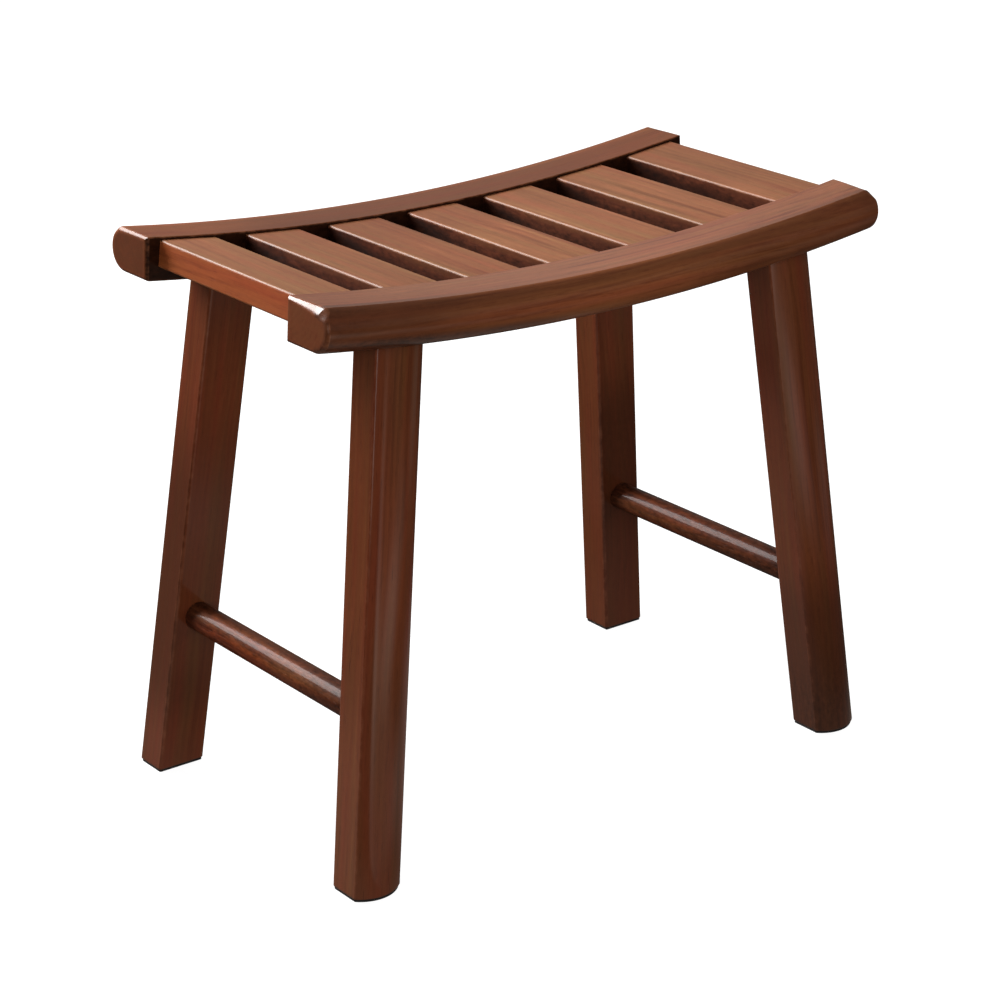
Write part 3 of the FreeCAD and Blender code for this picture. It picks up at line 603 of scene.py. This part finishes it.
def wood(name, seed, light, middle, dark, worn, deep, coat=0.75, coat_rough=0.17, bump=0.35, pith=(0.0, 0.030, -0.055),
         contrast=1.0, mottle=0.25, gloss=0.08, hue=1.0):
    mat, nt, bsdf = new_tree(name)
    net = Net(nt)
    ga = net.node("ShaderNodeAttribute", attribute_type="GEOMETRY", attribute_name="grain")
    grp = net.node("ShaderNodeGroup", node_tree=WOOD)
    for key in ("edge", "cut", "stain"):
        at = net.node("ShaderNodeAttribute", attribute_type="GEOMETRY", attribute_name=key)
        net.put(grp.inputs[key.capitalize()], at.outputs["Fac"])
    rng = np.random.default_rng(seed)
    shift = (rng.uniform(-3, 3, 3)).tolist()
    turn = rng.uniform(0.75, 1.3)
    grp.inputs["Shift"].default_value = shift
    grp.inputs["Pith"].default_value = (pith[0] + rng.uniform(-0.3, 0.3), pith[1] * turn + rng.uniform(-0.012, 0.012),
                                        pith[2] * turn + rng.uniform(-0.015, 0.015))
    for key, c in (("Light", light), ("Middle", middle), ("Dark", dark), ("Worn", worn), ("Deep", deep)):
        grp.inputs[key].default_value = c
    grp.inputs["Contrast"].default_value = contrast
    grp.inputs["Mottle"].default_value = mottle
    grp.inputs["Hue"].default_value = hue
    net.put(grp.inputs["Grain"], ga.outputs["Vector"])
    net.put(bsdf.inputs["Base Color"], grp.outputs["Color"])
    net.put(bsdf.inputs["Roughness"], grp.outputs["Roughness"])
    bmp = net.node("ShaderNodeBump")
    bmp.inputs["Strength"].default_value = bump
    bmp.inputs["Distance"].default_value = 0.0002
    net.put(bmp.inputs["Height"], grp.outputs["Height"])
    net.put(bsdf.inputs["Normal"], bmp.outputs[0])
    bsdf.inputs["IOR"].default_value = 1.45
    bsdf.inputs["Specular IOR Level"].default_value = gloss
    bsdf.inputs["Coat Weight"].default_value = coat
    bsdf.inputs["Coat Roughness"].default_value = coat_rough
    bsdf.inputs["Coat IOR"].default_value = 1.5
    return mat


def rubber():
    mat, nt, bsdf = new_tree("foot_rubber")
    net = Net(nt)
    co = net.node("ShaderNodeAttribute", attribute_type="GEOMETRY", attribute_name="grain").outputs["Vector"]
    grit = net.noise(co, 1400.0, 3.0, 0.6)
    dust = net.noise(co, 90.0, 2.0, 0.5)
    col = net.mix(net.ramp(dust, 0.45, 0.75, 0.0, 0.5), (0.012, 0.010, 0.009, 1), (0.040, 0.034, 0.030, 1))
    net.put(bsdf.inputs["Base Color"], col)
    net.put(bsdf.inputs["Roughness"], net.ramp(grit, 0.3, 0.8, 0.62, 0.85))
    bmp = net.node("ShaderNodeBump")
    bmp.inputs["Strength"].default_value = 0.4
    bmp.inputs["Distance"].default_value = 0.0002
    net.put(bmp.inputs["Height"], grit)
    net.put(bsdf.inputs["Normal"], bmp.outputs[0])
    return mat


# The stain's tones, by kind of piece.
SEAT = dict(light=(0.314, 0.118, 0.048, 1), middle=(0.238, 0.084, 0.033, 1), dark=(0.154, 0.046, 0.018, 1),
            worn=(0.370, 0.150, 0.072, 1), deep=(0.078, 0.018, 0.008, 1))
RAIL = dict(light=(0.305, 0.098, 0.036, 1), middle=(0.228, 0.067, 0.023, 1), dark=(0.128, 0.031, 0.010, 1),
            worn=(0.340, 0.125, 0.058, 1), deep=(0.070, 0.020, 0.008, 1))
LEG = dict(light=(0.205, 0.054, 0.019, 1), middle=(0.140, 0.035, 0.012, 1), dark=(0.076, 0.018, 0.006, 1),
           worn=(0.210, 0.070, 0.034, 1), deep=(0.040, 0.0115, 0.0048, 1))
BAR = dict(light=(0.190, 0.052, 0.019, 1), middle=(0.125, 0.033, 0.012, 1), dark=(0.062, 0.015, 0.006, 1),
           worn=(0.200, 0.070, 0.034, 1), deep=(0.034, 0.010, 0.0050, 1))
BEECH = dict(light=(0.62, 0.44, 0.27, 1), middle=(0.52, 0.35, 0.20, 1), dark=(0.36, 0.22, 0.12, 1),
             worn=(0.62, 0.44, 0.27, 1), deep=(0.22, 0.12, 0.066, 1))


def dress(ob, mat, nodes):
    ob.data.materials.clear()
    ob.data.materials.append(mat)
    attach(ob, "root")
    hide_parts(*nodes)
    return ob


# How much darker each piece is made, by place along it: in X on the rails, Y on the slats and stretchers, and height
# on the legs. It is partly stain and partly painted shade.
EVEN = [(0, 0.0), (1, 0.0)]
RAIL_STAIN = {"front": [(-220, 0.20), (-100, 0.14), (0, 0.03), (90, 0.02), (170, 0.06), (250, 0.08)],
              "back": [(-210, 0.36), (-110, 0.72), (0, 0.64), (120, 0.64), (250, 0.54)]}
NOSE_STAIN = {"front": [(-250, 0.80), (-190, 0.70), (-110, 0.26), (-40, 0.06), (40, 0.0), (90, 0.22), (130, 0.36), (215, 0.44), (250, 0.64)],
              "back": [(-200, 0.12), (-110, 0.30), (250, 0.30)]}
LOW_STAIN = {"front": [(-250, 0.15), (-190, 0.50), (-90, 0.62), (-20, 0.0)], "back": [(0, 0.2), (1, 0.2)]}
HIGH_STAIN = {"front": [(-200, 0.0), (-140, 0.26), (60, 0.26), (140, 0.0)], "back": EVEN}
# painted shade on the rails' inner faces above the slats, nearly black on the back rail
INNER_SHADE = {"front": 0.80, "back": 1.50}
RAIL_COAT = {"front": 0.62, "back": 0.26}
# how much more the ends are eased at the lip, left and right, and how flat that is
END_EASE = {"front": ((3.8, 1.8), (3.4, 1.0)), "back": ((0.6, 1.4), (1.4, 1.0))}
SLAT_STAIN = {2: [(10, 0.02), (60, 0.13), (80, 0.15)], 3: [(-30, 0.0), (60, 0.22), (88, 0.26)],
              4: [(-10, 0.0), (60, 0.28), (80, 0.30)], 5: [(10, 0.0), (60, 0.11), (80, 0.13)],
              6: [(10, 0.0), (60, 0.14), (80, 0.16)], 7: [(-60, 0.0), (0, 0.18), (88, 0.25)]}
# each slat was cut from its own board
SLAT_TONE = {1: (0.94, 1.01, 1.00), 2: (0.90, 0.89, 0.88), 3: (0.94, 0.91, 0.89), 4: (1.11, 1.14, 1.15), 5: (1.02, 1.07, 1.12),
             6: (1.03, 1.10, 1.14), 7: (1.02, 1.09, 1.16)}
LEG_STAIN_AND_SHADE = {"front_left": [(60, 0.04), (150, 0.14), (240, 0.04), (380, 0.02)],
             "front_right": [(20, 0.85), (95, 0.66), (160, 0.12), (260, 0.06), (340, 0.14), (380, 0.14)],
             "back_left": [(20, 0.20), (80, 0.62), (220, 0.60), (310, 0.10)],
             "back_right": [(0, 0.16), (70, 0.26), (180, 0.26), (260, 0.14), (380, 0.14)]}
# painted shade at the top of every leg, just under the rail
for table in LEG_STAIN_AND_SHADE.values():
    table += [(381, table[-1][1]), (393, table[-1][1] + 0.40)]
LEG_INNER = {"back_left": [(50, 0.0), (100, -0.22), (230, -0.22), (300, 0.0)],
             "back_right": [(40, 0.30), (120, 0.50), (200, 0.50), (260, 0.05)]}
LEG_OUTER = {"front_left": [(0, 0.18), (110, 0.14), (190, 0.0), (300, 0.0), (360, 0.12)]}
# the stretchers are darker at both ends, where they meet the legs: painted shade
BAR_STAIN_AND_SHADE = {"left": [(-106, 0.70), (-80, 0.50), (-30, 0.10), (10, -0.5), (70, -0.4), (104, 0.60)],
             "right": [(-104, 0.85), (-40, 0.62), (20, 0.35), (80, 0.28), (104, 0.75)]}

seed = 11
for name, side in (("front", -1), ("back", 1)):
    ob = make_rail("seat_rail_" + name, side, RAIL_STAIN[name], NOSE_STAIN[name], LOW_STAIN[name], HIGH_STAIN[name], INNER_SHADE[name],
                   END_EASE[name])
    dress(ob, wood("stained_rail_" + name, seed, coat=RAIL_COAT[name], coat_rough=0.20, contrast=0.78, hue=0.6, **RAIL), ["%s_rail" % name])
    seed += 1
for i in range(1, 8):
    ob = make_slat(i, SLAT_STAIN.get(i, EVEN))
    tone = np.append(SLAT_TONE.get(i, (1.0, 1.0, 1.0)), 1.0)
    tones = {key: tuple((np.array(c) * tone).tolist()) for key, c in SEAT.items()}
    dress(ob, wood("stained_slat_%d" % i, seed, coat=0.34, coat_rough=0.42, contrast=0.72, mottle=0.35, hue=0.7, **tones),
          ["slat_%d" % i])
    seed += 1
pad_mat = rubber()
for a, sy in (("front", -1), ("back", 1)):
    for b, sx in (("left", -1), ("right", 1)):
        tag = "%s_%s" % (a, b)
        ob = make_leg("splayed_leg_" + tag, sx, sy, LEG_STAIN_AND_SHADE[tag], LEG_INNER.get(tag, EVEN), LEG_OUTER.get(tag, EVEN))
        dress(ob, wood("stained_leg_" + tag, seed, pith=(0.0, 0.05, -0.06), contrast=0.55, coat_rough=0.12, **LEG), [tag + "_leg"])
        seed += 1
        ob = make_pad("anti_slip_pad_" + tag, sx, sy)
        dress(ob, pad_mat, [tag + "_foot_pad"])
for b, sx in (("left", -1), ("right", 1)):
    ob = make_bar("round_stretcher_" + b, sx, BAR_STAIN_AND_SHADE[b])
    dress(ob, wood("stained_stretcher_" + b, seed, pith=(0.0, 0.02, -0.03), coat=0.10, coat_rough=0.10, mottle=2.2, gloss=0.06, bump=0.8, **BAR), [b + "_stretcher"])
    seed += 1


# The dowels stay hidden in the joints, as bare beech.
def dowel_material():
    mat, nt, bsdf = new_tree("bare_beech")
    net = Net(nt)
    co = net.node("ShaderNodeTexCoord").outputs["Object"]
    # the dowels stand nearly upright, so their grain runs along Z
    sep = net.node("ShaderNodeSeparateXYZ")
    net.put(sep.inputs[0], co)
    com = net.node("ShaderNodeCombineXYZ")
    net.put(com.inputs[0], sep.outputs[2])
    net.put(com.inputs[1], sep.outputs[0])
    net.put(com.inputs[2], sep.outputs[1])
    grp = net.node("ShaderNodeGroup", node_tree=WOOD)
    grp.inputs["Shift"].default_value = (1.3, 0.4, -0.7)
    grp.inputs["Contrast"].default_value = 1.0
    grp.inputs["Mottle"].default_value = 0.25
    grp.inputs["Hue"].default_value = 1.0
    grp.inputs["Pith"].default_value = (0.0, 0.07, -0.02)
    for key, c in (("Light", BEECH["light"]), ("Middle", BEECH["middle"]), ("Dark", BEECH["dark"]), ("Worn", BEECH["worn"]),
                   ("Deep", BEECH["deep"])):
        grp.inputs[key].default_value = c
    net.put(grp.inputs["Grain"], com.outputs[0])
    net.put(bsdf.inputs["Base Color"], grp.outputs["Color"])
    net.put(bsdf.inputs["Roughness"], net.math("ADD", grp.outputs["Roughness"], 0.2))
    bmp = net.node("ShaderNodeBump")
    bmp.inputs["Strength"].default_value = 0.4
    bmp.inputs["Distance"].default_value = 0.0002
    net.put(bmp.inputs["Height"], grp.outputs["Height"])
    net.put(bsdf.inputs["Normal"], bmp.outputs[0])
    return mat


beech = dowel_material()
for tag in ("front_left", "front_right", "back_left", "back_right"):
    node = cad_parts[tag + "_dowels"]
    node.data.materials.clear()
    node.data.materials.append(beech)
    node.data.shade_smooth()
    node.data.set_sharp_from_angle(angle=math.radians(30))


# ------------------------------------------------------------------- stage
def make_floor():
    me = bpy.data.meshes.new("floor")
    bm = bmesh.new()
    bmesh.ops.create_circle(bm, cap_ends=True, radius=14.0, segments=96)
    bm.to_mesh(me)
    bm.free()
    ob = bpy.data.objects.new("floor", me)
    bpy.context.scene.collection.objects.link(ob)
    mat = bpy.data.materials.new("pale_floor")
    mat.use_nodes = True
    nt = mat.node_tree
    nt.nodes.clear()
    net = Net(nt)
    out = net.node("ShaderNodeOutputMaterial")
    add = net.node("ShaderNodeAddShader")
    dif = net.node("ShaderNodeBsdfDiffuse")
    emi = net.node("ShaderNodeEmission")
    path = net.node("ShaderNodeLightPath")
    seen = path.outputs["Is Camera Ray"]
    net.put(dif.inputs["Color"], net.mix(seen, (0, 0, 0, 1), (0.20, 0.20, 0.20, 1)))
    # for glossy rays it glows warm: a painted warm reflection in the lacquer
    net.put(emi.inputs["Color"], net.mix(path.outputs["Is Glossy Ray"], (1, 1, 1, 1), (1.0, 0.83, 0.73, 1)))
    # what the lacquer mirrors of the floor is a painted reflection, a glow seen by glossy rays only: a bright stretch
    # in front with a sharp left border, a paler patch at the left feet, and little else
    co = net.node("ShaderNodeTexCoord").outputs["Object"]
    sep = net.node("ShaderNodeSeparateXYZ")
    net.put(sep.inputs[0], co)
    x, y = sep.outputs[0], sep.outputs[1]
    ahead = net.math("MULTIPLY_ADD", y, -1.0, -0.14)
    bearing = net.math("DIVIDE", net.math("ADD", x, 0.20), net.math("MAXIMUM", ahead, 0.02))

    def mul(*parts):
        out = parts[0]
        for part in parts[1:]:
            out = net.math("MULTIPLY", out, part)
        return out

    def spot(cx, cy, far, near):
        d = net.vec("DISTANCE", co, (cx, cy, 0.0))
        return net.ramp(d, far, near)

    in_front = mul(net.ramp(bearing, -0.56, -0.44), net.ramp(ahead, 0.0, 0.12))
    keep = net.math("MAXIMUM", net.ramp(ahead, 0.35, 0.75), net.ramp(x, 0.10, -0.08, 0.0, 0.8))
    lit = mul(in_front, keep, net.ramp(x, 0.70, 0.42), net.ramp(ahead, 1.5, 0.7, 0.20, 1.0), 0.42)
    edge_lit = mul(in_front, keep, net.ramp(bearing, -0.27, -0.38), net.ramp(ahead, 4.5, 2.5),
                   net.ramp(ahead, 0.15, 0.60, 0.3, 1.0), 0.60)
    wide_lit = mul(in_front, keep, net.ramp(bearing, -0.05, -0.30), net.ramp(ahead, 1.7, 1.2),
                   net.ramp(ahead, 0.15, 0.60, 0.3, 1.0), 0.30)
    blob = mul(in_front, spot(0.0, -0.93, 0.42, 0.14), 0.60)
    side = mul(spot(0.95, -0.50, 0.45, 0.12), 0.20)
    left = mul(net.ramp(x, -1.00, -0.30), net.ramp(x, -0.15, -0.28), net.ramp(y, 0.40, 0.05, 0.30, 1.0),
               net.ramp(y, -0.30, -0.12), 0.26)
    under = mul(spot(0.08, -0.06, 0.34, 0.10), 0.21)
    behind = mul(spot(-0.08, 0.24, 0.20, 0.07), 0.16)
    patch = 0.04
    for part in (lit, edge_lit, wide_lit, blob, side, left, under, behind):
        patch = net.math("ADD", part, patch)
    glow = net.math("MULTIPLY_ADD", path.outputs["Is Glossy Ray"], net.math("SUBTRACT", patch, 0.10), 0.10)
    full = net.node("ShaderNodeMix", data_type="FLOAT")
    net.put(full.inputs[0], seen)
    net.put(full.inputs[2], glow)
    net.put(full.inputs[3], net.ramp(net.vec("DISTANCE", co, (0.0, 0.0, 0.0)), 0.6, 2.0, 0.94, 1.0))
    net.put(emi.inputs["Strength"], full.outputs[0])
    nt.links.new(dif.outputs[0], add.inputs[0])
    nt.links.new(emi.outputs[0], add.inputs[1])
    nt.links.new(add.outputs[0], out.inputs[0])
    me.materials.append(mat)
    return ob


floor = make_floor()


def make_world():
    w = bpy.data.worlds.new("studio")
    bpy.context.scene.world = w
    w.use_nodes = True
    nt = w.node_tree
    nt.nodes.clear()
    net = Net(nt)
    out = net.node("ShaderNodeOutputWorld")
    bg = net.node("ShaderNodeBackground")
    co = net.node("ShaderNodeTexCoord").outputs["Generated"]
    sep = net.node("ShaderNodeSeparateXYZ")
    net.put(sep.inputs[0], co)
    # the room: dark below, dim above, with a glow low on the wall behind the bench
    up = net.ramp(sep.outputs[2], -0.10, 0.60)
    low = net.ramp(sep.outputs[2], -0.60, 0.05)
    col = net.mix(low, (0.022, 0.021, 0.020, 1), (0.085, 0.084, 0.083, 1))
    col = net.mix(up, col, (0.085, 0.085, 0.087, 1))
    wall = net.math("MULTIPLY", net.ramp(sep.outputs[2], 0.02, 0.30), net.ramp(sep.outputs[2], 0.70, 0.42))
    wall = net.math("MULTIPLY", wall, net.ramp(sep.outputs[1], 0.25, 0.75))
    wall = net.math("MULTIPLY", wall, net.ramp(sep.outputs[0], 0.42, 0.72, 0.80, 1.25))
    col = net.mix(net.math("MINIMUM", wall, 1.0), col, net.vec("SCALE", (0.49, 0.48, 0.46), net.math("MAXIMUM", wall, 1.0)))
    # what the camera sees past the floor is a plain white wall
    seen = net.node("ShaderNodeLightPath").outputs["Is Camera Ray"]
    col = net.mix(seen, col, (1.0, 1.0, 1.0, 1))
    net.put(bg.inputs["Color"], col)
    bg.inputs["Strength"].default_value = 1.0
    nt.links.new(bg.outputs[0], out.inputs[0])


make_world()


def area(name, pos, target, size, power, color=(1, 1, 1), size_y=None, spread=None):
    data = bpy.data.lights.new(name, "AREA")
    data.energy = power
    data.color = color
    data.shape = "RECTANGLE"
    data.size = size
    data.size_y = size_y or size
    if spread is not None:
        data.spread = math.radians(spread)
    ob = bpy.data.objects.new(name, data)
    bpy.context.scene.collection.objects.link(ob)
    ob.location = pos
    ob.rotation_mode = "QUATERNION"
    ob.rotation_quaternion = (Vector(target) - Vector(pos)).to_track_quat("-Z", "Y")
    return ob


area("key_left_back", (-0.73, 1.80, 1.66), (0, 0, 0.38), 1.4, 133, size_y=1.4)
area("fill_front_left", (-1.45, -2.20, 1.00), (0, 0, 0.26), 2.4, 36, size_y=1.2)
area("fill_front_right", (1.30, -2.50, 0.95), (0, 0, 0.26), 1.8, 13, size_y=1.2)
area("fill_right", (2.30, 0.55, 0.85), (0, 0, 0.24), 1.8, 22, size_y=1.2)
area("strip_left", (-2.10, -1.65, 0.62), (-0.25, -0.12, 0.36), 0.16, 1.4, size_y=1.3)
for name in ("fill_front_left", "fill_front_right", "fill_right"):
    bpy.data.objects[name].visible_glossy = False


# ------------------------------------------------------------------ camera
cam_data = bpy.data.cameras.new("view")
cam = bpy.data.objects.new("view", cam_data)
bpy.context.scene.collection.objects.link(cam)
cam_data.sensor_fit = "HORIZONTAL"
cam_data.sensor_width = 36.0
cam_data.lens = 102.73039
cam_data.clip_start, cam_data.clip_end = 0.05, 60.0
right = Vector((0.78778776, -0.61594301, 0.00215456))
up = Vector((0.21841519, 0.28261907, 0.93403494))
ahead = Vector((0.57592121, 0.73535071, -0.35717516))
turn = Matrix((right, up, -ahead)).transposed().to_4x4()
cam.matrix_world = Matrix.Translation((-1.24658957, -1.58879015, 0.97308435)) @ turn
bpy.context.scene.camera = cam

bpy.context.scene.view_settings.view_transform = "Standard"
bpy.context.scene.view_settings.look = "None"
bpy.context.scene.view_settings.exposure = 0.0
bpy.context.scene.view_settings.gamma = 1.0
